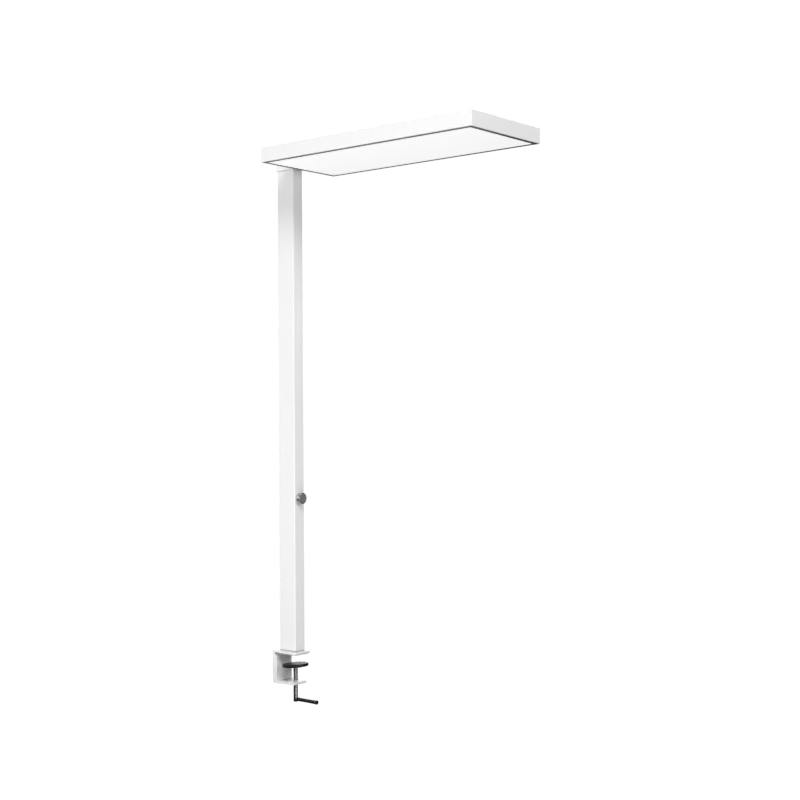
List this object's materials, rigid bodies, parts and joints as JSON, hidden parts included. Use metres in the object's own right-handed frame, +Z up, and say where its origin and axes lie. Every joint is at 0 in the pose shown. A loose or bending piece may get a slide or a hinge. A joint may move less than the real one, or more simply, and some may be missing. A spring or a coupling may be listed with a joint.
{
  "type": "desk clamp luminaire",
  "caption": "Workplace luminaire: a flat cantilevered LED head on a swivel block, a rectangular post with a dimmer knob, and a C-shaped desk clamp with a crank screw.",
  "frame": {"origin": "on the face that rests on the desk top, under the post's axis", "axes": "+Z up along the post, +X from the post towards the head's far end, Y across the head"},
  "size_m": [0.6543, 0.241, 1.2584],
  "materials": {
    "white_powder": "fine satin powder coat",
    "grey_gasket": "matte",
    "dark_frame": "satin anodised",
    "opal": "opal satin sheet",
    "satin_metal": "satin turned",
    "chrome": "bright plated",
    "zinc": "zinc plated",
    "aluminium": "as machined",
    "brass": "as machined",
    "black_plastic": "fine texture",
    "black_rubber": "matte moulded",
    "dark_cap": "satin",
    "white_plastic": "smooth",
    "circuit_board": "solder mask",
    "white_board": "white reflective"
  },
  "bodies": {
    "stand": {"desk_pad": "grey_gasket", "upper_bracket": "white_powder", "lower_bracket": "white_powder", "bracket_screw_1": "zinc", "bracket_screw_2": "zinc", "post_screw_1": "zinc", "post_screw_2": "zinc", "spindle_insert": "zinc", "post_foot": "grey_gasket", "post_tube": "white_powder", "base_block": "aluminium", "base_block_screw_1": "zinc", "base_block_screw_2": "zinc", "top_block_screw": "zinc", "power_inlet": "black_plastic", "mains_lead": "black_plastic", "led_driver": "white_plastic", "led_lead": "white_plastic", "dimmer_encoder": "black_plastic", "dimmer_board": "circuit_board", "dimmer_nut": "zinc", "top_block": "aluminium", "swivel_bush": "black_plastic", "swivel_washer": "white_plastic", "stop_pin": "zinc"},
    "ball": {"ball_bush": "brass"},
    "spindle": {"spindle": "chrome", "spindle_clip": "zinc", "crank_rod": "zinc", "crank_ring": "chrome", "crank_end_cap": "black_plastic"},
    "grip": {"crank_sleeve": "black_plastic"},
    "pad": {"pad_cap": "black_rubber", "pad_core": "zinc", "pad_collar": "zinc"},
    "plunger": {"dimmer_plunger": "white_plastic"},
    "knob": {"knob": "satin_metal", "knob_cap": "dark_cap", "knob_screw": "zinc", "dimmer_shaft": "brass"},
    "head": {"swivel_spigot": "zinc", "stop_collar": "zinc", "swivel_nut": "brass", "head_block": "white_powder", "block_lid": "white_powder", "head_bolt_1": "zinc", "head_bolt_2": "zinc", "head_end_bar": "aluminium", "head_housing": "white_powder", "frame_long_left": "dark_frame", "frame_long_right": "dark_frame", "frame_end_post": "dark_frame", "frame_end_far": "dark_frame", "diffuser": "opal", "led_tray": "white_board", "led_board_1": "white_board", "led_board_2": "white_board", "led_board_3": "white_board", "terminal_block": "white_plastic", "head_lead": "white_plastic"}
  },
  "joints": [
    {"name": "head_swivel", "type": "hinge", "parent": "stand", "child": "head", "pos_m": [0, 0, 1.1156], "axis": [0, 0, 1], "range_deg": [-90, 90]},
    {"name": "knob_press", "type": "slide", "parent": "stand", "child": "plunger", "axis": [-1, 0, 0], "range_m": [0, 0.001], "stiffness_N_per_m": 2500, "springref_m": -0.0005},
    {"name": "knob_turn", "type": "hinge", "parent": "plunger", "child": "knob", "pos_m": [0.025, 0, 0.3586], "axis": [1, 0, 0], "continuous": true},
    {"name": "clamp_travel", "type": "slide", "parent": "stand", "child": "ball", "axis": [0, 0, 1], "range_m": [-0.027, 0.018]},
    {"name": "spindle_turn", "type": "hinge", "parent": "ball", "child": "spindle", "pos_m": [0.01, 0, -0.0273], "axis": [0, 0, 1], "range_deg": [-6480, 4320]},
    {"name": "grip_spin", "type": "hinge", "parent": "spindle", "child": "grip", "pos_m": [0.01, 0, -0.1038], "axis": [1, 0, 0], "continuous": true},
    {"name": "pad_tilt", "type": "hinge", "parent": "ball", "child": "pad", "pos_m": [0.01, 0, -0.0273], "axis": [0, -1, 0], "range_deg": [-10.5, 1.5]}
  ],
  "couplings": [
    {"joint": "clamp_travel", "follows": "spindle_turn", "m_per_rad": 0.00023873}
  ]
}
